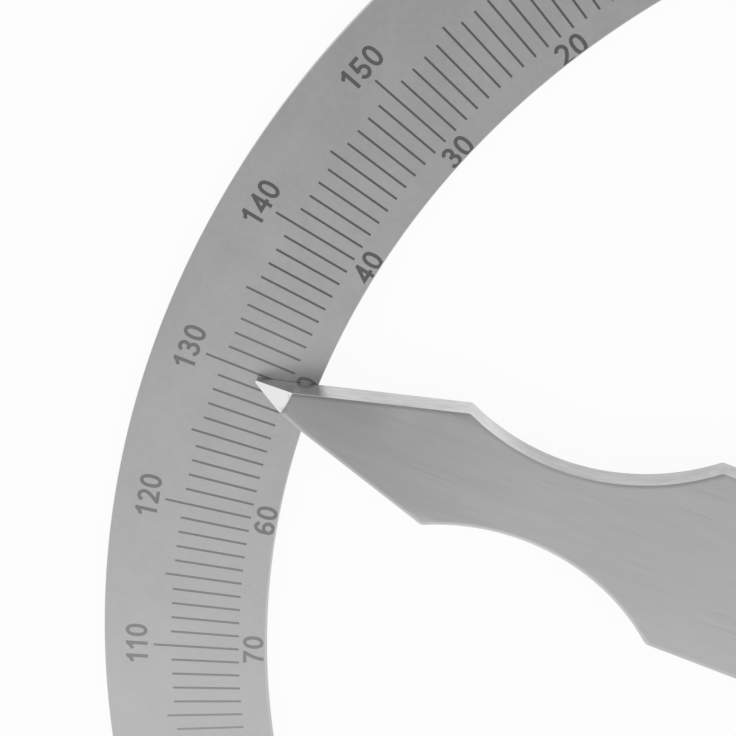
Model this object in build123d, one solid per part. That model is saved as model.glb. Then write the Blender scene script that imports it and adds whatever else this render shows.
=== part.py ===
from build123d import *
import math
import os

# Steel bench protractor: a half-round scale plate with an open arc, and a pointer rail that turns on it.
# The origin is on the pivot axis at the plate's underside, +Z is up and +Y points to the crown of the arc.
# Lengths are in millimetres and angles in degrees.

# Scale plate: the arc is struck from a point a little below the pivot, as on the real plate
arc_radius = 100.0
arc_offset = 0.4
band_width = 16.7
plate_thickness = 2.0
bar_above_pivot = 10.0
bar_below_pivot = 15.0
hub_radius = 18.0
window_fillet = 6.0
plate_corner = 1.0

# Pointer rail: its tip reaches over the band, into the degree marks
rail_length = 300.0
rail_width = 20.0
rail_thickness = 3.0
pointer_overlap = 5.6
pointer_angle = 34.0
pointer_lean = 1.55
tip_offset = 0.43
tip_width = 0.45
waist_from_tip = 30.5
waist_width = 8.4
waist_radius = 22.7
shoulder_fillet = 0.8
blade_corner = 0.5
rail_edge_break = 0.2
bevel_run = 3.65
tip_land = 0.7
reading_at_rest = 129.35

# Pivot stud
thread_diameter = 5.0
shoulder_step = 1.5
shank_step = 1.0
stud_head_height = 1.5
flat_depth = 0.4
groove_depth = 0.6
stud_end = 0.5

# Bush, washers and spring
bush_wall = 1.45
bush_chamfer = 0.3
friction_washer_inset = 0.5
friction_washer_thickness = 0.15
thrust_washer_inset = 1.0
thrust_washer_thickness = 1.0
thrust_washer_chamfer = 0.2
spring_thickness = 0.5
spring_height = 0.8

# Clamp nut and its ring
nut_collar_wall = 3.5
nut_collar_height = 2.0
nut_rim_step = 4.0
nut_head_height = 4.5
nut_chamfer = 0.6
nut_recess_depth = 1.0
nut_recess_margin = 1.0
nut_lift = 0.8
knurl_count = 48
knurl_depth = 0.45
ring_width = 1.85
ring_thickness = 0.6
ring_opening = 50.0

# Clearances
running_clearance = 0.05
face_gap = 0.05
shoulder_gap = 0.1
loose_clearance = 0.15

# Places along the rail, from the pivot
window_radius = arc_radius - band_width
pointer_reach = window_radius + pointer_overlap
waist_from_pivot = pointer_reach - waist_from_tip
blade_reach = rail_length - pointer_reach

# Diameters about the pivot, from the thread outwards and from the rail inwards
flats_width = thread_diameter - 2 * flat_depth
groove_diameter = thread_diameter - 2 * groove_depth
shoulder_diameter = thread_diameter + 2 * shoulder_step
stud_shank_diameter = shoulder_diameter + 2 * shank_step
stud_head_diameter = stud_shank_diameter + 2 * stud_head_height
bush_bore = shoulder_diameter + 2 * running_clearance
bush_diameter = bush_bore + 2 * bush_wall
friction_washer_diameter = rail_width - 2 * friction_washer_inset
thrust_washer_diameter = rail_width - 2 * thrust_washer_inset
nut_collar_diameter = thread_diameter + 2 * nut_collar_wall
spring_diameter = nut_collar_diameter
nut_diameter = nut_collar_diameter + 2 * nut_rim_step
ring_diameter = groove_diameter + 2 * ring_width
nut_recess_diameter = ring_diameter + 2 * nut_recess_margin

# Levels of the stack above the underside
rail_underside = plate_thickness + friction_washer_thickness + face_gap
rail_top = rail_underside + rail_thickness
shoulder_top = rail_top - shoulder_gap
thrust_washer_underside = rail_top + face_gap
thrust_washer_top = thrust_washer_underside + thrust_washer_thickness
spring_underside = thrust_washer_top + face_gap
nut_underside = spring_underside + spring_height + face_gap
nut_collar_top = nut_underside + nut_collar_height
nut_top = nut_collar_top + nut_head_height
ring_underside = nut_top - nut_recess_depth + nut_lift + shoulder_gap
ring_top = ring_underside + ring_thickness
stud_top = ring_top + 2 * stud_end


def turned(points):
    """Solid turned about the pivot axis from its (radius, height) outline."""
    outline = make_face(Plane.XZ * Polyline(*points, close=True))
    return revolve(outline, Axis.Z)


def ring_blank(outer, inner, bottom, height):
    """Flat ring about the pivot axis, from its two diameters."""
    return Pos(0, 0, bottom) * extrude(Circle(outer / 2) - Circle(inner / 2), height)


def flatted_disc(diameter, width):
    """Round section with two flats across it."""
    return Circle(diameter / 2) & Rectangle(2 * diameter, width)


def stud_head():
    """Countersunk head and shank, which also cut the plate's seat."""
    head, shank = stud_head_diameter / 2, stud_shank_diameter / 2
    return turned([(0, 0), (head, 0), (shank, stud_head_height), (shank, plate_thickness), (0, plate_thickness)])


def window_outline():
    """Open window between the arc, the base bar and the hub."""
    above_bar = Pos(0, bar_above_pivot) * Rectangle(2 * arc_radius, arc_radius, align=(Align.CENTER, Align.MIN))
    window = (Pos(0, -arc_offset) * Circle(window_radius) & above_bar) - Circle(hub_radius)
    return fillet(window.vertices(), window_fillet)


def scale_plate():
    """Arc, base bar and hub in one sheet, with the stud's countersunk seat."""
    upper = Circle(arc_radius) & Rectangle(2 * arc_radius, arc_radius, align=(Align.CENTER, Align.MIN))
    lower = Rectangle(2 * arc_radius, bar_below_pivot - arc_offset, align=(Align.CENTER, Align.MAX))
    outline = Pos(0, -arc_offset) * (upper + lower)
    outline = fillet(outline.vertices().group_by(Axis.Y)[0], plate_corner)
    return extrude(outline - window_outline(), plate_thickness) - stud_head()


def pointer_outline():
    """Spade-shaped pointer with a blunt tip, which leans off the rail's centre line as the real one is ground."""
    length = pointer_reach - waist_from_pivot
    half_tip = tip_width / 2
    half_root = half_tip + length * math.tan(math.radians(pointer_angle / 2))
    root_offset = length * math.tan(math.radians(pointer_lean)) - tip_offset
    return make_face(Polyline(
        (pointer_reach, half_tip - tip_offset),
        (waist_from_pivot, root_offset + half_root),
        (waist_from_pivot, root_offset - half_root),
        (pointer_reach, -half_tip - tip_offset),
        close=True,
    ))


def rail_outline():
    """Straight bar, waist between two arcs and pointer, along +X from the pivot."""
    bar = Pos(-blade_reach, 0) * Rectangle(blade_reach + waist_from_pivot, rail_width, align=(Align.MIN, Align.CENTER))
    waist_offset = waist_width / 2 + waist_radius
    waist = [Pos(waist_from_pivot, side * waist_offset) * Circle(waist_radius) for side in (-1, 1)]
    outline = bar + pointer_outline() - waist
    outline = fillet([v for v in outline.vertices() if 0 < v.X < pointer_reach - 1], shoulder_fillet)
    return fillet(outline.vertices().group_by(Axis.X)[0], blade_corner)


def tip_bevel():
    """Wedge above the pointer's sloping reading facet."""
    start = pointer_reach - bevel_run
    slope = (rail_thickness - tip_land) / bevel_run
    beyond = 1.0
    facet = Polyline(
        (start - beyond, rail_thickness + slope * beyond),
        (pointer_reach + beyond, tip_land - slope * beyond),
        (pointer_reach + beyond, rail_thickness + slope * beyond),
        close=True,
    )
    return extrude(make_face(Plane.XZ * facet), rail_width, both=True)


def pointer_rail():
    """Rail with its broken upper edges, bevelled tip and bore, turned to its reading."""
    rail = extrude(rail_outline(), rail_thickness)
    rail = chamfer(rail.faces().sort_by(Axis.Z)[-1].outer_wire().edges(), rail_edge_break)
    rail = rail - tip_bevel() - extrude(Circle(bush_diameter / 2), rail_thickness)
    return Pos(0, 0, rail_underside) * Rot(0, 0, 180 - reading_at_rest) * rail


def pivot_stud():
    """Stud with its flush head, running shoulder, flatted thread and ring groove."""
    thread, groove, shoulder = thread_diameter / 2, groove_diameter / 2, shoulder_diameter / 2
    shank = turned([(0, plate_thickness), (shoulder, plate_thickness), (shoulder, shoulder_top), (0, shoulder_top)])
    groove_top = ring_top + face_gap
    end = turned([
        (0, shoulder_top),
        (thread, shoulder_top),
        (thread, ring_underside),
        (groove, ring_underside),
        (groove, groove_top),
        (thread, groove_top),
        (thread, stud_top - stud_end),
        (thread - stud_end, stud_top),
        (0, stud_top),
    ])
    flats = extrude(Rectangle(2 * thread_diameter, flats_width), stud_top)
    return stud_head() + shank + (end & flats)


def friction_washer():
    """Thin washer that holds the rail clear of the etched scale."""
    bore = shoulder_diameter + 2 * loose_clearance
    return ring_blank(friction_washer_diameter, bore, plate_thickness, friction_washer_thickness)


def pivot_bush():
    """Bearing bush, flush with both faces of the rail."""
    bush = ring_blank(bush_diameter, bush_bore, rail_underside, rail_thickness)
    inner_edges = bush.edges().filter_by(GeomType.CIRCLE).sort_by(SortBy.RADIUS)[:2]
    return chamfer(inner_edges, bush_chamfer)


def thrust_washer():
    """Washer with a flatted hole that keys it to the stud."""
    hole = flatted_disc(thread_diameter + 2 * loose_clearance, flats_width + 2 * running_clearance)
    washer = extrude(Circle(thrust_washer_diameter / 2) - hole, thrust_washer_thickness)
    rim = washer.faces().sort_by(Axis.Z)[-1].outer_wire().edges()
    return Pos(0, 0, thrust_washer_underside) * chamfer(rim, thrust_washer_chamfer)


def disc_spring():
    """Coned spring washer, resting on its outer rim."""
    outer, inner = spring_diameter / 2, thread_diameter / 2 + loose_clearance
    rise = spring_height - spring_thickness
    return Pos(0, 0, spring_underside) * turned([
        (outer, 0), (outer, spring_thickness), (inner, rise + spring_thickness), (inner, rise)
    ])


def knurl_notches():
    """V grooves of the straight knurling, for a nut that stands at height 0."""
    radius = nut_diameter / 2
    beyond = 0.2
    half = knurl_depth + beyond
    groove = make_face(Polyline((-knurl_depth, 0), (beyond, half), (beyond, -half), close=True))
    head = extrude(groove, nut_head_height)
    return [place * head for place in PolarLocations(radius, knurl_count)]


def clamp_nut():
    """Knurled nut on a plain collar, with a recess for the ring that holds it on."""
    radius, collar = nut_diameter / 2, nut_collar_diameter / 2
    bore, recess = thread_diameter / 2 + running_clearance, nut_recess_diameter / 2
    floor = nut_top - nut_recess_depth
    blank = turned([
        (bore, nut_underside),
        (collar, nut_underside),
        (collar, nut_collar_top),
        (radius - nut_chamfer, nut_collar_top),
        (radius, nut_collar_top + nut_chamfer),
        (radius, nut_top - nut_chamfer),
        (radius - nut_chamfer, nut_top),
        (recess, nut_top),
        (recess, floor),
        (bore, floor),
    ])
    return blank - [Pos(0, 0, nut_collar_top) * notch for notch in knurl_notches()]


def retaining_ring():
    """Open ring seated in the stud's groove."""
    ring = Circle(ring_diameter / 2) - Circle(groove_diameter / 2)
    reach = ring_diameter
    spread = reach * math.tan(math.radians(ring_opening / 2))
    opening = make_face(Polyline((0, 0), (reach, spread), (reach, -spread), close=True))
    return Pos(0, 0, ring_underside) * extrude(ring - opening, ring_thickness)


pieces = {
    "scale_plate": scale_plate(),
    "pivot_stud": pivot_stud(),
    "friction_washer": friction_washer(),
    "pointer_rail": pointer_rail(),
    "pivot_bush": pivot_bush(),
    "thrust_washer": thrust_washer(),
    "disc_spring": disc_spring(),
    "clamp_nut": clamp_nut(),
    "retaining_ring": retaining_ring(),
}

os.makedirs("parts", exist_ok=True)
for name, piece in pieces.items():
    export_step(piece, os.path.join("parts", name + ".step"))
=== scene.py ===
import bmesh
import bpy
import math
from mathutils import Matrix, Vector

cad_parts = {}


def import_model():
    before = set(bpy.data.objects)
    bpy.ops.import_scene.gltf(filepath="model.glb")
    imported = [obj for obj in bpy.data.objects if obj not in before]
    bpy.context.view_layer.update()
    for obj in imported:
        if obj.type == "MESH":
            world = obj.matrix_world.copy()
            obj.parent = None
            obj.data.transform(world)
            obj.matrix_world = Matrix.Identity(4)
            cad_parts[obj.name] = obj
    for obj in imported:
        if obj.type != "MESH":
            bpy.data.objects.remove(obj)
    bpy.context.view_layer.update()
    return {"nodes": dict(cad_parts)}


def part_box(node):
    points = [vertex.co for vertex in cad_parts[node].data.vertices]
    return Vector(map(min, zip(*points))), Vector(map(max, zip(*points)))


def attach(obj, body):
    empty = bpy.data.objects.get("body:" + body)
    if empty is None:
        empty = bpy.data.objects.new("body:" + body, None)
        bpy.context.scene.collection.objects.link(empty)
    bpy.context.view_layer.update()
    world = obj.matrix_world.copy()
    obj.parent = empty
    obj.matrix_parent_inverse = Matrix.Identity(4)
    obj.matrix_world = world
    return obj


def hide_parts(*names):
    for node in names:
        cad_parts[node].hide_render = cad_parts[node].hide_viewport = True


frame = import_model()
NODES = frame["nodes"]

# Lengths are in millimetres up to the last step of each piece, which brings it to metres
MM = 0.001

# Scale plate
PLATE_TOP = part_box("scale_plate")[1].z / MM
ARC_RADIUS = 100
ARC_CENTRE = Vector((0, -0.4))
WINDOW_RADIUS = 83.3
BAR_TOP = 10
BAR_FOOT = -15
HUB_RADIUS = 18
WINDOW_FILLET = 6
PLATE_CORNER = 1
PLATE_ROUND = 0.1
SHANK_RADIUS = 5
STUD_HEAD_HEIGHT = 1.5

# Pointer rail, along +X from the pivot before it is turned to its heading
RAIL_HEADING = math.radians(50.65)
RAIL_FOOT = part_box("pointer_rail")[0].z / MM
RAIL_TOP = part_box("pointer_rail")[1].z / MM
RAIL_HALF = 10
POINTER_REACH = 88.9
BLADE_REACH = 211.1
POINTER_ANGLE = math.radians(34)
POINTER_LEAN = math.radians(1.55)
TIP_OFFSET = 0.43
TIP_HALF = 0.225
WAIST_FROM_PIVOT = 58.4
WAIST_HALF = 4.2
WAIST_RADIUS = 22.7
SHOULDER_FILLET = 0.8
BLADE_CORNER = 0.5
RAIL_ROUND = 0.06
BEVEL_RUN = 3.64
TIP_LAND = 0.7
BUSH_RADIUS = 5.5

# The facet's heel starts here on one flank and is skewed a little across the pointer
FACET_HEEL = (85.06, -1.63)
FACET_SKEW = 0.18

# The other flank of the tip is ground back a little, by (distance from the pivot, depth)
TIP_RELIEF = ((83.0, 0.0), (85.1, 0.2), (87.5, 0.18), (88.9, 0.24))

# The pointer's underside sinks towards the scale by (distance from the pivot, depth)
TIP_SAG = ((58.4, 0.0), (80.0, 0.14))

# The rail's top falls away a little along its edges, where the brush rounds them.
# Towards the tip the rounding shrinks to a share, over a span that ends short of the tip.
WORN_WIDTH = 0.4
WORN_DROP = 0.03
LEAST_ROUND = 0.15
ROUND_SPAN = 1.5
ROUND_END = 1.1

# Marks on the scale: radii from the pivot
TICK_INNER = 85.6
TICK_OUTER = {1: 92.65, 5: 93.5, 10: 94.5}
TICK_WIDTH = 0.23
INK_HEIGHT = 0.008
OUTER_ROW = 95.12
OUTER_HEIGHT = 2.27
INNER_ROW = 83.02
INNER_HEIGHT = 2.14
DIGIT_UNIT = 2.27
TEXT_SHIFT = 0.06

# Grey of the ink by the outer row's reading, from the base line's right end
INK_WEAR = ((180, 0.14), (155, 0.165), (137, 0.158), (133, 0.235), (122, 0.24),
            (116, 0.275), (107, 0.29), (104, 0.335), (90, 0.335), (60, 0.22), (0, 0.14))

# Numerals, in shares of their height
STROKE = 0.165
ADVANCE = 0.735
ONE_ADVANCE = 0.65
EDGE = STROKE / 2
TOP, FOOT, MID = 1 - EDGE, EDGE, 0.53
CENTRE = ADVANCE / 2

# Greatest distance between a true arc and its chords, and points along a straight flank
SAG = 0.0015
FLANK_STEPS = 32

# Corners are drawn out so that an offset keeps its width, up to these limits
PLATE_MITRE = 0.5
STROKE_MITRE = 0.45

# Painted reflection: tone of the rail's top and of its edges by the distance from the pivot
RAIL_PAINTED_FADE = ((52, 1.17), (58, 1.17), (66, 1.1), (75, 1.0), (85, 0.96), (89, 0.96))
WALL_PAINTED_FADE = ((56, 0.92), (61.3, 0.98), (65.8, 1.26), (69.4, 1.13),
             (73, 1.04), (76.9, 0.98), (80.7, 1.08), (84.5, 1.2))

# Painted reflection on the rail's top, a darker and a paler spot: spot, reach, and tone at the spot
RAIL_PAINTED_PATCHES = (((79.7, -2.0, 5.2), 6.5, 0.93), ((74.3, -3.6, 5.2), 3.5, 1.09))

# Grain of each surface, in cells to the metre along each axis; turned parts have rings about the pivot
FINE_GRAIN = (1200, 1200, 1200)
PLATE_GRAIN = (1500, 1500, 1500)
BRUSHED_GRAIN = (250, 3500, 3500)
MILLED_GRAIN = (800, 800, 3200)
GROUND_GRAIN = (3600, 300, 3600)
RING_GRAIN = (3000, 1, 3000)
INK_GRAIN = (4000, 4000, 4000)

# Range of the noise that a tone or gloss follows, and how far broad patches and streaks are from the grain
NOISE_LOW, NOISE_HIGH = 0.3, 0.7
BROAD_GRAIN = 9
STREAK_GRAIN = 0.6
STREAK_START, STREAK_FULL = 0.66, 0.74
BUMP_DEPTH = 0.00002
INK_SPECK = 0.88
INK_ROUGHNESS = 0.4

# The floor lies just under the plate, in metres; shares of it that show as white
FLOOR_LEVEL = -0.00005
FLOOR_HALF = 2.0
FLOOR_GREY = 0.9
FLOOR_SEEN = 0.93
FLOOR_REFLECTED = 0.9

# Camera: its axes, its place over the plate's face in metres, and its lens in millimetres
CAMERA_RIGHT = (-0.326645, -0.939272, -0.105215)
CAMERA_UP = (0.897594, -0.273417, -0.345787)
CAMERA_BACK = (0.296020, -0.207390, 0.932395)
CAMERA_PLACE = Vector((0.132415, 0.002934, 0.245093))
SENSOR_WIDTH = 36.0
LENS = 130.565
NEAREST = 0.01

# Soft lamp: place in metres, side and power
KEY_PLACE = (-0.55, 0.5, 0.45)
KEY_SIDE = 0.8
KEY_POWER = 1.0

# The sky's tone by its angle from an axis that leans from straight up
SKY_LEAN = math.radians(12)
SKY_AZIMUTH = math.radians(31)
SKY_TONES = ((90, 1.0), (60, 1.0), (42, 1.0), (36, 0.86), (32, 0.75),
             (28, 0.65), (24, 0.57), (20, 0.5), (10, 0.37), (0, 0.33))

# Order of a sheet's materials: its faces, its edges all round, and a ground facet
FACE, WALL, GROUND = range(3)


def link(obj):
    """Puts a new object in the scene."""
    bpy.context.scene.collection.objects.link(obj)
    return obj


def mesh_object(name, verts, faces):
    """New object in the scene from vertices and faces."""
    mesh = bpy.data.meshes.new(name)
    mesh.from_pydata(verts, [], faces)
    mesh.update()
    return link(bpy.data.objects.new(name, mesh))


def to_metres(obj, turn=0.0):
    """Turns an object's mesh about the pivot and brings it from millimetres to metres."""
    obj.data.transform(Matrix.Scale(MM, 4) @ Matrix.Rotation(turn, 4, "Z"))
    return obj


def baked(obj):
    """Mesh of an object with its modifiers applied."""
    bpy.context.view_layer.update()
    return bpy.data.meshes.new_from_object(obj.evaluated_get(bpy.context.evaluated_depsgraph_get()))


def arc_between(centre, start, end):
    """Points of the shorter arc about a centre from start to end."""
    centre, start, end = Vector(centre), Vector(start), Vector(end)
    radius = (start - centre).length
    first = math.atan2(start.y - centre.y, start.x - centre.x)
    turn = math.atan2(end.y - centre.y, end.x - centre.x) - first
    turn = (turn + math.pi) % (2 * math.pi) - math.pi
    steps = max(2, math.ceil(abs(turn) / (2 * math.acos(1 - SAG / radius))))
    angles = [first + turn * i / steps for i in range(steps + 1)]
    return [centre + radius * Vector((math.cos(a), math.sin(a))) for a in angles]


def circle(radius, steps=96):
    """Clockwise circle about the pivot."""
    return [Vector((radius * math.cos(a), radius * math.sin(a)))
            for a in (-2 * math.pi * i / steps for i in range(steps))]


def crossing(point, heading, centre, reach, far=False):
    """Where a line meets a circle, at the first or the second crossing."""
    point, heading = Vector(point), Vector(heading).normalized()
    offset = point - Vector(centre)
    middle = offset.dot(heading)
    root = math.sqrt(middle ** 2 - offset.dot(offset) + reach ** 2)
    return point + heading * (root - middle if far else -root - middle)


def tangent(centre, radius, fillet):
    """Point of a circle that lies towards a fillet's centre."""
    return Vector(centre) + (Vector(fillet) - Vector(centre)).normalized() * radius


def mirrored(points):
    """Points reflected in the YZ plane and taken in the other direction."""
    return [Vector((-p.x, p.y)) for p in reversed(points)]


def plate_outline():
    """Outer edge of the plate, counter-clockwise."""
    corner = Vector((ARC_RADIUS - PLATE_CORNER, BAR_FOOT + PLATE_CORNER))
    right = arc_between(corner, corner + Vector((0, -PLATE_CORNER)), corner + Vector((PLATE_CORNER, 0)))
    crown = ARC_CENTRE + Vector((0, ARC_RADIUS))
    right += arc_between(ARC_CENTRE, ARC_CENTRE + Vector((ARC_RADIUS, 0)), crown)
    return right + mirrored(right)[1:]


def window_outline():
    """Edge of the open window, clockwise."""
    level = (0, BAR_TOP + WINDOW_FILLET)
    outer = crossing(level, (1, 0), ARC_CENTRE, WINDOW_RADIUS - WINDOW_FILLET, far=True)
    inner = crossing(level, (1, 0), (0, 0), HUB_RADIUS + WINDOW_FILLET, far=True)
    drop = Vector((0, -WINDOW_FILLET))
    outer_end = tangent(ARC_CENTRE, WINDOW_RADIUS, outer)
    inner_end = tangent((0, 0), HUB_RADIUS, inner)
    right = arc_between((0, 0), (0, HUB_RADIUS), inner_end)
    right += arc_between(inner, inner_end, inner + drop)[1:]
    right += arc_between(outer, outer + drop, outer_end)
    right += arc_between(ARC_CENTRE, outer_end, ARC_CENTRE + Vector((0, WINDOW_RADIUS)))[1:]
    loop = right + mirrored(right)[1:-1]
    return loop[::-1]


def between(stops, place):
    """Value at a place among (place, value) stops, with the first or last value beyond them."""
    if place <= stops[0][0]:
        return stops[0][1]
    for (low, before), (high, after) in zip(stops, stops[1:]):
        if place <= high:
            return before + (after - before) * (place - low) / (high - low)
    return stops[-1][1]


def rail_side(side):
    """One long edge of the rail from the pointer's tip to the middle of the blade's end."""
    length = POINTER_REACH - WAIST_FROM_PIVOT
    root_half = TIP_HALF + length * math.tan(POINTER_ANGLE / 2)
    root_offset = length * math.tan(POINTER_LEAN) - TIP_OFFSET
    tip = Vector((POINTER_REACH, side * TIP_HALF - TIP_OFFSET))
    flank = (Vector((WAIST_FROM_PIVOT, root_offset + side * root_half)) - tip).normalized()
    inward = side * Vector((-flank.y, flank.x)) * SHOULDER_FILLET
    waist = Vector((WAIST_FROM_PIVOT, side * (WAIST_HALF + WAIST_RADIUS)))
    reach = WAIST_RADIUS + SHOULDER_FILLET
    front = crossing(tip + inward, flank, waist, reach)
    rear = crossing((0, side * (RAIL_HALF - SHOULDER_FILLET)), (1, 0), waist, reach)
    points = [tip.lerp(front - inward, i / FLANK_STEPS) for i in range(FLANK_STEPS)]
    if side > 0:
        points = [p - Vector((0, between(TIP_RELIEF, p.x))) for p in points]
    points += arc_between(front, front - inward, tangent(waist, WAIST_RADIUS, front))
    points += arc_between(waist, points[-1], tangent(waist, WAIST_RADIUS, rear))[1:]
    points += arc_between(rear, points[-1], rear + Vector((0, side * SHOULDER_FILLET)))[1:]
    corner = Vector((BLADE_CORNER - BLADE_REACH, side * (RAIL_HALF - BLADE_CORNER)))
    start, end = corner + Vector((0, side * BLADE_CORNER)), corner + Vector((-BLADE_CORNER, 0))
    return points + arc_between(corner, start, end)


def rounded(foot, top, radius, steps=3):
    """Profile of a sheet's edge from its underside to its top, as (inset, height)."""
    bends = [math.pi / 2 * i / steps for i in range(steps + 1)]
    low = [(radius * (1 - math.sin(a)), foot + radius * (1 - math.cos(a))) for a in bends]
    high = [(radius * (1 - math.cos(a)), top - radius * (1 - math.sin(a))) for a in bends]
    return low + high


def outward(points):
    """Directions away from the metal along an outline, longer at corners so that an inset keeps its width."""
    normals = []
    for i, point in enumerate(points):
        before = (point - points[i - 1]).normalized()
        after = (points[(i + 1) % len(points)] - point).normalized()
        along = (before + after).normalized()
        side = Vector((along.y, -along.x))
        normals.append(side / max(PLATE_MITRE, side.dot(Vector((before.y, -before.x)))))
    return normals


def ring_edges(bm, ring):
    """Edges of a closed ring of vertices."""
    return [bm.edges.get((ring[i - 1], ring[i])) for i in range(len(ring))]


def slab(loops, width=lambda point: 1.0):
    """Mesh of a sheet between closed outlines, each with the profile of its edge."""
    bm = bmesh.new()
    under, over = [], []
    for points, profile in loops:
        normals = outward(points)
        rings = []
        for inset, height in profile:
            places = [p - n * inset * width(p) for p, n in zip(points, normals)]
            rings.append([bm.verts.new((p.x, p.y, height)) for p in places])
        for low, high, start, end in zip(rings, rings[1:], profile, profile[1:]):
            steep = end[1] - start[1] > abs(end[0] - start[0])
            for i in range(len(points)):
                face = bm.faces.new((low[i - 1], low[i], high[i], high[i - 1]))
                face.material_index = WALL if steep else FACE
        under += ring_edges(bm, rings[0])
        over += ring_edges(bm, rings[-1])
    for edges in (under, over):
        bmesh.ops.triangle_fill(bm, use_beauty=True, edges=edges)
    bmesh.ops.recalc_face_normals(bm, faces=bm.faces)
    return bm


def from_bmesh(name, bm):
    """New object in the scene from a mesh under edit."""
    mesh = bpy.data.meshes.new(name)
    bm.to_mesh(mesh)
    bm.free()
    return link(bpy.data.objects.new(name, mesh))


def soften(obj, angle=35):
    """Smooth shading with hard edges, flat faces kept flat."""
    for face in obj.data.polygons:
        face.use_smooth = True
    obj.data.set_sharp_from_angle(angle=math.radians(angle))
    weighted = obj.modifiers.new("normals", "WEIGHTED_NORMAL")
    weighted.keep_sharp = True
    weighted.weight = 80
    return obj


def plate_body():
    """Plate with smooth arcs, broken edges and the stud's seat."""
    edge = rounded(0, PLATE_TOP, PLATE_ROUND)
    seat = [(STUD_HEAD_HEIGHT, 0), (0, STUD_HEAD_HEIGHT), (0, PLATE_TOP)]
    bm = slab([(plate_outline(), edge), (window_outline(), edge), (circle(SHANK_RADIUS), seat)])
    return soften(to_metres(from_bmesh("plate_body", bm)))


def near_tip(point):
    """Share of the full edge rounding, less where the pointer is too narrow for it."""
    share = min(1, max(0, (POINTER_REACH - ROUND_END - point.x) / ROUND_SPAN))
    return LEAST_ROUND + (1 - LEAST_ROUND) * share


def cut_facet(bm):
    """Cuts the bright facet at the pointer's tip."""
    fall = RAIL_TOP - RAIL_FOOT - TIP_LAND
    cut = bmesh.ops.bisect_plane(
        bm, geom=bm.verts[:] + bm.edges[:] + bm.faces[:], dist=1e-5, clear_outer=True,
        plane_co=(*FACET_HEEL, RAIL_TOP), plane_no=(fall, -FACET_SKEW * fall, BEVEL_RUN),
    )["geom_cut"]
    rim = [e for e in cut if isinstance(e, bmesh.types.BMEdge)]
    filled = bmesh.ops.triangle_fill(bm, use_beauty=True, edges=rim)["geom"]
    for face in filled:
        if isinstance(face, bmesh.types.BMFace):
            face.material_index = GROUND
    bmesh.ops.recalc_face_normals(bm, faces=bm.faces)


def rail_body():
    """Rail with rounded edges and the ground facet at its tip."""
    outline = rail_side(-1)[::-1] + rail_side(1)
    edge = rounded(RAIL_FOOT, RAIL_TOP - WORN_DROP, RAIL_ROUND) + [(RAIL_ROUND + WORN_WIDTH, RAIL_TOP)]
    bore = [(0, RAIL_FOOT), (0, RAIL_TOP)]
    bm = slab([(outline, edge), (circle(BUSH_RADIUS), bore)], near_tip)
    for vert in bm.verts:
        if vert.co.z < RAIL_FOOT + 2 * RAIL_ROUND:
            vert.co.z -= between(TIP_SAG, vert.co.x)
    cut_facet(bm)
    return soften(to_metres(from_bmesh("rail_body", bm), RAIL_HEADING))


def oval(cx, cy, rx, ry, start, end, steps=32, power=2.0):
    """Points along an ellipse, squarer for a higher power, angles in degrees."""
    points = []
    for i in range(steps + 1):
        a = math.radians(start + (end - start) * i / steps)
        c, s = math.cos(a), math.sin(a)
        x = math.copysign(abs(c) ** (2 / power), c)
        y = math.copysign(abs(s) ** (2 / power), s)
        points.append((cx + rx * x, cy + ry * y))
    return points


def bend(a, b, c, steps=14):
    """Points along a quadratic curve from a to c, drawn towards b."""
    points = []
    for i in range(steps + 1):
        t = i / steps
        points.append(tuple((1 - t) ** 2 * p + 2 * t * (1 - t) * q + t * t * r for p, q, r in zip(a, b, c)))
    return points


def six(flip=False):
    """Strokes of a 6, or of a 9 when turned half round."""
    strokes = [
        (oval(CENTRE, 0.31, 0.226, 0.31 - FOOT, 0, 360), True),
        (oval(CENTRE + 0.01, 0.5, 0.236, TOP - 0.5, 198, 38), False),
    ]
    if flip:
        strokes = [([(ADVANCE - x, 1 - y) for x, y in line], closed) for line, closed in strokes]
    return strokes


def digit_strokes():
    """Centre lines of the ten digits: each a list of (points, closed)."""
    upper = (TOP - MID) / 2
    lower = (MID - FOOT) / 2
    two = oval(0.352, 0.695, 0.212, TOP - 0.695, 166, -22)
    return {
        "0": [(oval(CENTRE, 0.5, 0.228, TOP - 0.5, 0, 360, 56, 2.25), True)],
        "1": [
            ([(0.375, 0.0), (0.375, 1.0)], False),
            (bend((0.375, 0.95), (0.27, 0.77), (0.075, 0.71)), False),
        ],
        "2": [
            (two + bend(two[-1], (0.5, 0.42), (0.14, FOOT))[1:], False),
            ([(0.08, FOOT), (0.66, FOOT)], False),
        ],
        "3": [
            (oval(0.35, TOP - upper, 0.192, upper, 166, -90) + [(0.27, MID)], False),
            (oval(0.35, FOOT + lower, 0.228, lower, 96, -166), False),
        ],
        "4": [
            ([(0.505, 0.0), (0.505, 1.0)], False),
            ([(0.505, 0.92), (0.125, 0.31), (0.68, 0.31)], False),
        ],
        "5": [
            ([(0.62, TOP), (0.205, TOP), (0.147, 0.43)], False),
            (oval(0.352, 0.315, 0.232, 0.315 - FOOT, 148, -163), False),
        ],
        "6": six(),
        "7": [
            ([(0.07, TOP), (0.66, TOP)], False),
            (bend((0.6, TOP), (0.33, 0.55), (0.27, 0.0)), False),
        ],
        "8": [
            (oval(CENTRE, TOP - upper, 0.188, upper, 0, 360, 40), True),
            (oval(CENTRE, FOOT + lower, 0.228, lower, 0, 360, 40), True),
        ],
        "9": six(flip=True),
    }


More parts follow.
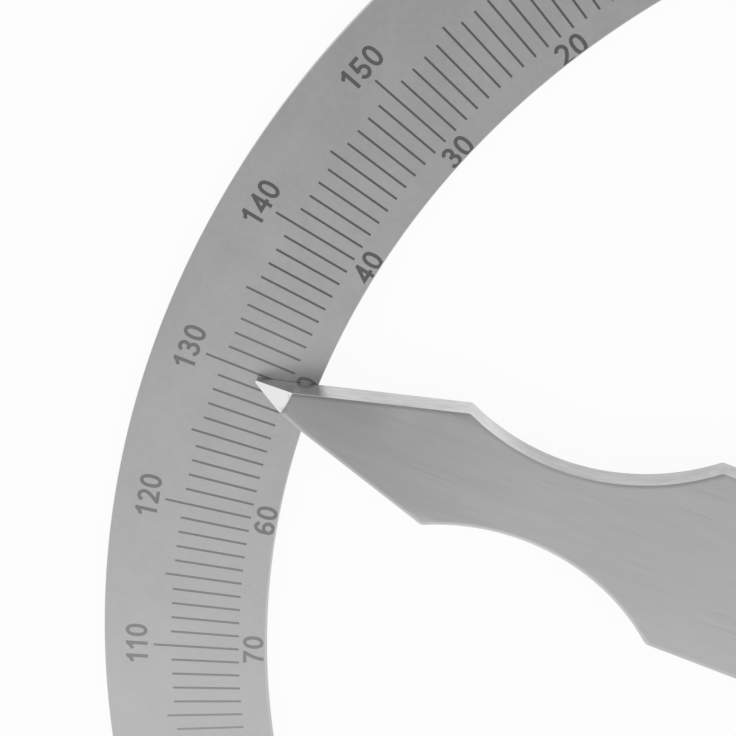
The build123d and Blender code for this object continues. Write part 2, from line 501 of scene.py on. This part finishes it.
def ribbon(line, closed):
    """Left and right edges of a stroke of even width with square ends."""
    if closed:
        line = line[:-1]
    line = [Vector(p) for p in line]
    count = len(line)
    left, right = [], []
    for i, point in enumerate(line):
        before = point - line[i - 1] if i or closed else line[i + 1] - point
        after = line[(i + 1) % count] - point if i + 1 < count or closed else before
        before, after = before.normalized(), after.normalized()
        along = (before + after).normalized()
        across = Vector((-along.y, along.x))
        reach = EDGE / max(STROKE_MITRE, across.dot(Vector((-before.y, before.x))))
        left.append(point + across * reach)
        right.append(point - across * reach)
    return left, right


def stroke_solid(name, line, closed):
    """Closed solid of one stroke, one unit thick about its plane."""
    left, right = ribbon(line, closed)
    count = len(left)
    verts = [(p.x, p.y, z) for z in (-0.5, 0.5) for side in (left, right) for p in side]
    low_left, low_right, top_left, top_right = (list(range(k * count, (k + 1) * count)) for k in range(4))
    faces = []
    for i in range(count if closed else count - 1):
        j = (i + 1) % count
        faces.append((top_right[i], top_right[j], top_left[j], top_left[i]))
        faces.append((low_left[i], low_left[j], low_right[j], low_right[i]))
        faces.append((top_left[i], top_left[j], low_left[j], low_left[i]))
        faces.append((low_right[i], low_right[j], top_right[j], top_right[i]))
    if not closed:
        faces.append((low_left[0], low_right[0], top_right[0], top_left[0]))
        faces.append((top_left[-1], top_right[-1], low_right[-1], low_left[-1]))
    return mesh_object(name, verts, faces)


def combine(first, others, operation):
    """Object joined to others, or cut to them, by an exact boolean."""
    for other in others:
        step = first.modifiers.new("combine", "BOOLEAN")
        step.operation = operation
        step.solver = "EXACT"
        step.use_self = True
        step.object = other
    first.data = baked(first)
    first.modifiers.clear()
    for other in others:
        bpy.data.objects.remove(other)
    return first


def joined_digit(name, strokes):
    """Vertices and faces of one digit, its strokes joined into a single solid."""
    first, *others = [stroke_solid(f"{name}_stroke{i}", *stroke) for i, stroke in enumerate(strokes)]
    obj = combine(first, others, "UNION")
    part = [tuple(v.co) for v in obj.data.vertices], [tuple(p.vertices) for p in obj.data.polygons]
    bpy.data.objects.remove(obj)
    return part


def add_copy(verts, faces, part, place):
    """Appends a placed copy of a part to growing vertex and face lists."""
    start = len(verts)
    verts.extend(tuple(place @ Vector(v)) for v in part[0])
    faces.extend(tuple(start + i for i in f) for f in part[1])


def radial_place(reading, radius):
    """Frame on the scale's face at a reading of the outer row: X along the arc clockwise, Y outwards."""
    heading = math.radians(180 - reading)
    spot = Matrix.Translation((radius * math.cos(heading), radius * math.sin(heading), PLATE_TOP))
    return spot @ Matrix.Rotation(heading - math.pi / 2, 4, "Z")


def digit_advance(char):
    """Width of a digit's place in its number."""
    return ONE_ADVANCE if char == "1" else ADVANCE


def degree_numbers(name, row, height, value):
    """Ring of numbers, each centred on its ten-degree mark with its top outwards."""
    digits = {char: joined_digit("digit" + char, strokes) for char, strokes in digit_strokes().items()}
    verts, faces = [], []
    size = Matrix.Diagonal((DIGIT_UNIT, height, 2 * INK_HEIGHT, 1))
    for reading in range(0, 181, 10):
        text = str(value(reading))
        start = -sum(digit_advance(char) for char in text) / 2
        place = radial_place(reading, row) @ Matrix.Translation((TEXT_SHIFT, 0, 0)) @ size
        for char in text:
            add_copy(verts, faces, digits[char], place @ Matrix.Translation((start, 0, 0)))
            start += digit_advance(char)
    return mesh_object(name, verts, faces)


def degree_marks(name):
    """All 181 marks, longer at every fifth and tenth degree."""
    verts, faces = [], []
    for reading in range(181):
        step = 10 if reading % 10 == 0 else 5 if reading % 5 == 0 else 1
        length = TICK_OUTER[step] - TICK_INNER
        size = Matrix.Diagonal((TICK_WIDTH, length, 2 * INK_HEIGHT, 1))
        add_copy(verts, faces, UNIT_BAR, radial_place(reading, TICK_INNER) @ size)
    return mesh_object(name, verts, faces)


def ink_limit():
    """Solid over the plate's face, inside its rounded edges, that the inner numbers are cut to."""
    profile = [(PLATE_ROUND, PLATE_TOP - 1), (PLATE_ROUND, PLATE_TOP + 1)]
    return from_bmesh("ink_limit", slab([(plate_outline(), profile), (window_outline(), profile)]))


UNIT_BAR = (
    [(x, y, z) for z in (-0.5, 0.5) for y in (0, 1) for x in (-0.5, 0.5)],
    [(0, 2, 3, 1), (4, 5, 7, 6), (0, 1, 5, 4), (1, 3, 7, 5), (3, 2, 6, 7), (2, 0, 4, 6)],
)


def new_material(name):
    """Material with its node tree and principled shader."""
    mat = bpy.data.materials.new(name)
    mat.use_nodes = True
    tree = mat.node_tree
    return mat, tree, tree.nodes["Principled BSDF"]


def add(tree, kind, **values):
    """Adds a shader node and sets its properties, or its inputs where the name is one."""
    node = tree.nodes.new("ShaderNode" + kind)
    for key, value in values.items():
        if key in node.inputs:
            node.inputs[key].default_value = value
        else:
            setattr(node, key, value)
    return node


def math_node(tree, operation, *operands):
    """Math node whose inputs are sockets or numbers."""
    node = add(tree, "Math", operation=operation)
    for slot, operand in zip(node.inputs, operands):
        if isinstance(operand, (int, float)):
            slot.default_value = operand
        else:
            tree.links.new(operand, slot)
    return node.outputs[0]


def ramp(tree, source, stops, tint=(1, 1, 1)):
    """Colour ramp of a tint from (position, value) stops in rising order."""
    node = tree.nodes.new("ShaderNodeValToRGB")
    elements = node.color_ramp.elements
    elements.remove(elements[1])
    elements[0].position = stops[0][0]
    elements[0].color = [stops[0][1] * share for share in tint] + [1]
    for position, value in stops[1:]:
        elements.new(position).color = [value * share for share in tint] + [1]
    tree.links.new(source, node.inputs["Fac"])
    return node.outputs["Color"]


def scaled_ramp(tree, source, stops):
    """Grey ramp over (place, value) stops that may lie anywhere, in rising order."""
    low, high = stops[0][0], stops[-1][0]
    span = add(tree, "MapRange")
    span.inputs["From Min"].default_value = low
    span.inputs["From Max"].default_value = high
    tree.links.new(source, span.inputs["Value"])
    shares = [((place - low) / (high - low), value) for place, value in stops]
    return ramp(tree, span.outputs["Result"], shares)


def multiplied(tree, first, second):
    """Product of two colours."""
    product = add(tree, "Mix", data_type="RGBA", blend_type="MULTIPLY")
    product.inputs[0].default_value = 1.0
    tree.links.new(first, product.inputs[6])
    tree.links.new(second, product.inputs[7])
    return product.outputs[2]


def turned_coords(tree, turn):
    """Coordinates of the object's own space, turned back about Z."""
    coords = add(tree, "TexCoord")
    mapping = add(tree, "Mapping", vector_type="POINT", Rotation=(0, 0, -turn))
    tree.links.new(coords.outputs["Object"], mapping.inputs["Vector"])
    return mapping.outputs["Vector"]


def ring_coords(tree):
    """Distance from the pivot's axis as X, and the height as Z."""
    parts = add(tree, "SeparateXYZ")
    tree.links.new(add(tree, "TexCoord").outputs["Object"], parts.inputs[0])
    x, y, z = parts.outputs
    squares = math_node(tree, "ADD", math_node(tree, "MULTIPLY", x, x), math_node(tree, "MULTIPLY", y, y))
    joined = add(tree, "CombineXYZ")
    tree.links.new(math_node(tree, "SQRT", squares), joined.inputs["X"])
    tree.links.new(z, joined.inputs["Z"])
    return joined.outputs["Vector"]


def noise(tree, vector, scale, detail=3.0, roughness=0.6):
    """Noise stretched by a scale along each axis."""
    mapping = add(tree, "Mapping", vector_type="POINT", Scale=scale)
    tree.links.new(vector, mapping.inputs["Vector"])
    node = add(tree, "TexNoise", Scale=1.0, Detail=detail, Roughness=roughness)
    tree.links.new(mapping.outputs["Vector"], node.inputs["Vector"])
    return node.outputs["Fac"]


def along_rail(tree, space):
    """Distance from the pivot along the rail, in metres."""
    parts = add(tree, "SeparateXYZ")
    tree.links.new(space, parts.inputs[0])
    return parts.outputs["X"]


def distance_from(tree, space, spot):
    """Distance in metres from a spot on the rail, given in millimetres."""
    away = add(tree, "VectorMath", operation="DISTANCE")
    tree.links.new(space, away.inputs[0])
    away.inputs[1].default_value = [value * MM for value in spot]
    return away.outputs["Value"]


def steel(name, grey, roughness, space=None, grain=FINE_GRAIN, tone=0.04, bump=0.05,
          tint=(1, 1, 1), streaks=0.0, painted_fade=(), painted_patches=()):
    """Metal whose tone, gloss and height follow a fine grain.

    It may have dark streaks along the grain, painted reflection fading along the rail by (distance, share),
    and painted reflection in darker or paler spots by (spot, reach, share), all in millimetres.
    """
    mat, tree, shader = new_material(name)
    shader.inputs["Metallic"].default_value = 1.0
    space = space(tree) if space else turned_coords(tree, 0)
    fine = noise(tree, space, grain)
    broad = noise(tree, space, tuple(g / BROAD_GRAIN for g in grain), 2.0)
    blend = math_node(tree, "ADD", *[math_node(tree, "MULTIPLY", layer, 0.5) for layer in (fine, broad)])
    shade = ramp(tree, blend, [(NOISE_LOW, grey * (1 - tone)), (NOISE_HIGH, grey * (1 + tone))], tint)
    if streaks:
        lines = noise(tree, space, tuple(g * STREAK_GRAIN for g in grain), 1.0)
        dark = ramp(tree, lines, [(0.0, 1.0), (STREAK_START, 1.0), (STREAK_FULL, 1 - streaks)])
        shade = multiplied(tree, shade, dark)
    # Painted reflection: the tone fades along the rail by the distance from the pivot
    if painted_fade:
        stops = [(place * MM, share) for place, share in painted_fade]
        shade = multiplied(tree, shade, scaled_ramp(tree, along_rail(tree, space), stops))
    # Painted reflection: a darker or paler spot on the rail's top
    for spot, reach, share in painted_patches:
        away = distance_from(tree, space, spot)
        shade = multiplied(tree, shade, scaled_ramp(tree, away, [(0, share), (reach * MM, 1.0)]))
    tree.links.new(shade, shader.inputs["Base Color"])
    gloss = ramp(tree, blend, [(NOISE_LOW, roughness * 0.9), (NOISE_HIGH, roughness * 1.1)])
    tree.links.new(gloss, shader.inputs["Roughness"])
    height = add(tree, "Bump", Strength=bump, Distance=BUMP_DEPTH)
    tree.links.new(fine, height.inputs["Height"])
    tree.links.new(height.outputs["Normal"], shader.inputs["Normal"])
    return mat


def etched():
    """Dark oxide of the etched marks, rubbed paler round the crown of the arc."""
    mat, tree, shader = new_material("etched_oxide")
    space = turned_coords(tree, 0)
    parts = add(tree, "SeparateXYZ")
    tree.links.new(space, parts.inputs[0])
    heading = math_node(tree, "ARCTAN2", parts.outputs["Y"], parts.outputs["X"])
    stops = [(math.radians(180 - reading), grey) for reading, grey in INK_WEAR]
    worn = scaled_ramp(tree, heading, stops)
    grain = ramp(tree, noise(tree, space, INK_GRAIN), [(NOISE_LOW, INK_SPECK), (NOISE_HIGH, 1.0)])
    tree.links.new(multiplied(tree, worn, grain), shader.inputs["Base Color"])
    shader.inputs["Metallic"].default_value = 1.0
    shader.inputs["Roughness"].default_value = INK_ROUGHNESS
    return mat


def give(obj, *mats):
    """Sets an object's materials in order."""
    while len(obj.data.materials) < len(mats):
        obj.data.materials.append(None)
    for slot, mat in zip(obj.material_slots, mats):
        slot.material = mat


def rail_coords(tree):
    """Coordinates along, across and up from the rail."""
    return turned_coords(tree, RAIL_HEADING)


PLATE = steel("satin_plate", grey=0.48, roughness=0.36, grain=PLATE_GRAIN, tone=0.045, bump=0.06)
# The rail's top and its wall carry painted reflection: a tone fading along the rail, and darker or paler
# spots on the top
RAIL = steel("brushed_rail_painted_reflection", grey=0.41, roughness=0.32, space=rail_coords, grain=BRUSHED_GRAIN,
             tone=0.05, bump=0.08, streaks=0.06, painted_fade=RAIL_PAINTED_FADE, painted_patches=RAIL_PAINTED_PATCHES)
RAIL_WALL = steel("milled_wall_painted_reflection", grey=0.58, roughness=0.3, space=rail_coords, grain=MILLED_GRAIN,
                  tone=0.22, bump=0.3, painted_fade=WALL_PAINTED_FADE)
# The facet's ground finish is real; its grey of 0.8, far above the rest of the rail's steel, is partly a
# painted highlight
FACET = steel("ground_facet_painted_highlight", grey=0.8, roughness=0.16, space=rail_coords, grain=GROUND_GRAIN,
              tone=0.03, bump=0.04)
TURNED = steel("turned_steel", grey=0.52, roughness=0.28, space=ring_coords, grain=RING_GRAIN,
               tone=0.06, bump=0.2)
NUT = steel("satin_nickel", grey=0.56, roughness=0.25, space=ring_coords, grain=RING_GRAIN,
            tone=0.05, bump=0.15)
SPRING = steel("spring_steel", grey=0.36, roughness=0.35, space=ring_coords, grain=RING_GRAIN,
               tone=0.05, bump=0.15)
BRONZE = steel("plain_bronze", grey=0.72, roughness=0.3, space=ring_coords, grain=RING_GRAIN,
               tone=0.06, bump=0.2, tint=(1.0, 0.78, 0.42))
ETCHED = etched()

for node, mat in {
    "scale_plate": PLATE,
    "pivot_stud": TURNED,
    "friction_washer": BRONZE,
    "pointer_rail": RAIL,
    "pivot_bush": BRONZE,
    "thrust_washer": TURNED,
    "disc_spring": SPRING,
    "clamp_nut": NUT,
    "retaining_ring": SPRING,
}.items():
    give(NODES[node], mat)

plate = plate_body()
give(plate, PLATE, PLATE)
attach(plate, "scale")
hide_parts("scale_plate")

rail = rail_body()
give(rail, RAIL, RAIL_WALL, FACET)
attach(rail, "rail")
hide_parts("pointer_rail")

marks = degree_marks("degree_marks")
outer = degree_numbers("outer_numbers", OUTER_ROW, OUTER_HEIGHT, lambda reading: reading)
inner = degree_numbers("inner_numbers", INNER_ROW, INNER_HEIGHT, lambda reading: 180 - reading)
combine(inner, [ink_limit()], "INTERSECT")
for piece in (marks, outer, inner):
    to_metres(piece)
    give(piece, ETCHED)
    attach(piece, "scale")


def floor():
    """Pale floor that keeps the object's shadow and shows as white to the camera and in the metal."""
    corners = [(x * FLOOR_HALF, y * FLOOR_HALF, FLOOR_LEVEL) for x, y in ((-1, -1), (1, -1), (1, 1), (-1, 1))]
    obj = mesh_object("floor", corners, [(0, 1, 2, 3)])
    mat, tree, shader = new_material("floor")
    shader.inputs["Base Color"].default_value = (FLOOR_GREY, FLOOR_GREY, FLOOR_GREY, 1)
    shader.inputs["Roughness"].default_value = 1.0
    shader.inputs["Specular IOR Level"].default_value = 0.0
    glow = add(tree, "Emission", Strength=1.0)
    path = add(tree, "LightPath")
    seen = math_node(tree, "MULTIPLY", path.outputs["Is Camera Ray"], FLOOR_SEEN)
    reflected = math_node(tree, "MULTIPLY", path.outputs["Is Glossy Ray"], FLOOR_REFLECTED)
    mix = add(tree, "MixShader")
    tree.links.new(math_node(tree, "MAXIMUM", seen, reflected), mix.inputs["Fac"])
    tree.links.new(shader.outputs[0], mix.inputs[1])
    tree.links.new(glow.outputs[0], mix.inputs[2])
    tree.links.new(mix.outputs[0], tree.nodes["Material Output"].inputs["Surface"])
    give(obj, mat)


def world():
    """Light tent that is dark round the camera overhead and bright below, white to the camera."""
    sky = bpy.data.worlds.new("studio")
    bpy.context.scene.world = sky
    sky.use_nodes = True
    tree = sky.node_tree
    back = tree.nodes["Background"]
    coords = add(tree, "TexCoord")
    level = math.sin(SKY_LEAN)
    axis = (level * math.cos(SKY_AZIMUTH), level * math.sin(SKY_AZIMUTH), math.cos(SKY_LEAN))
    dot = add(tree, "VectorMath", operation="DOT_PRODUCT")
    dot.inputs[1].default_value = axis
    tree.links.new(coords.outputs["Generated"], dot.inputs[0])
    stops = [(math.cos(math.radians(angle)), grey) for angle, grey in SKY_TONES]
    shade = ramp(tree, dot.outputs["Value"], stops)
    path = add(tree, "LightPath")
    mix = add(tree, "Mix", data_type="RGBA")
    tree.links.new(path.outputs["Is Camera Ray"], mix.inputs[0])
    tree.links.new(shade, mix.inputs[6])
    mix.inputs[7].default_value = (1, 1, 1, 1)
    tree.links.new(mix.outputs[2], back.inputs["Color"])


def lamp(name, place, aim, size, power):
    """Square soft light aimed at a point."""
    data = bpy.data.lights.new(name, "AREA")
    data.size = size
    data.energy = power
    obj = link(bpy.data.objects.new(name, data))
    obj.location = place
    obj.rotation_euler = (Vector(aim) - Vector(place)).to_track_quat("-Z", "Y").to_euler()


def camera():
    """Camera at the photograph's place and angle, with its lens."""
    data = bpy.data.cameras.new("camera")
    data.sensor_width = SENSOR_WIDTH
    data.lens = LENS
    data.clip_start = NEAREST
    obj = link(bpy.data.objects.new("camera", data))
    place = Matrix((CAMERA_RIGHT, CAMERA_UP, CAMERA_BACK)).transposed().to_4x4()
    place.translation = CAMERA_PLACE + Vector((0, 0, PLATE_TOP * MM))
    obj.matrix_world = place
    bpy.context.scene.camera = obj


floor()
world()
lamp("key", KEY_PLACE, (0, 0, 0), KEY_SIDE, KEY_POWER)
camera()
bpy.context.scene.view_settings.view_transform = "Standard"
